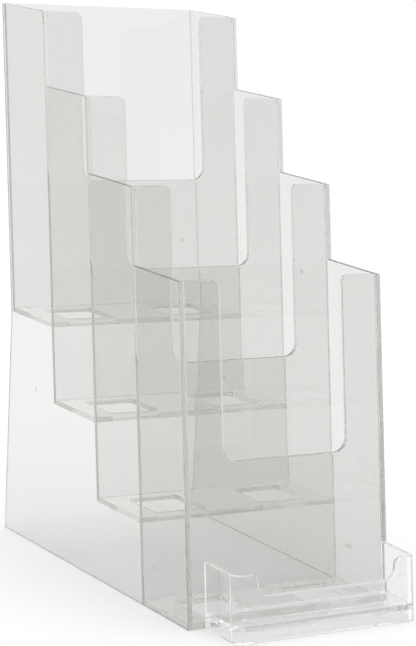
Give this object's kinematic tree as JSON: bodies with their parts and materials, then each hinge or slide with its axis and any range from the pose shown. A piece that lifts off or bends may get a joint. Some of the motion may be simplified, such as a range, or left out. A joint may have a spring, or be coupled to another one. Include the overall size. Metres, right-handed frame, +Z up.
{
  "type": "brochure rack",
  "caption": "Clear leaning countertop leaflet rack with stepped pockets, hand cut-outs, windowed pocket floors and a low card tray across the foot of its front.",
  "frame": {"origin": "on the surface it stands on, under the middle of the overall box", "axes": "+Z up, +X across the rack to the right as its user faces it, +Y from the front to the back"},
  "size_m": [0.118, 0.2412, 0.2705],
  "materials": {
    "rack_sheet": "clear polished sheet",
    "tray_plastic": "clear gloss moulding"
  },
  "bodies": {
    "root": {"left_side_panel": "rack_sheet", "right_side_panel": "rack_sheet", "front_panel": "rack_sheet", "divider_panel_1": "rack_sheet", "divider_panel_2": "rack_sheet", "divider_panel_3": "rack_sheet", "back_panel": "rack_sheet", "pocket_floor_1": "rack_sheet", "pocket_floor_2": "rack_sheet", "pocket_floor_3": "rack_sheet", "pocket_floor_4": "rack_sheet", "card_tray": "tray_plastic"}
  },
  "joints": []
}
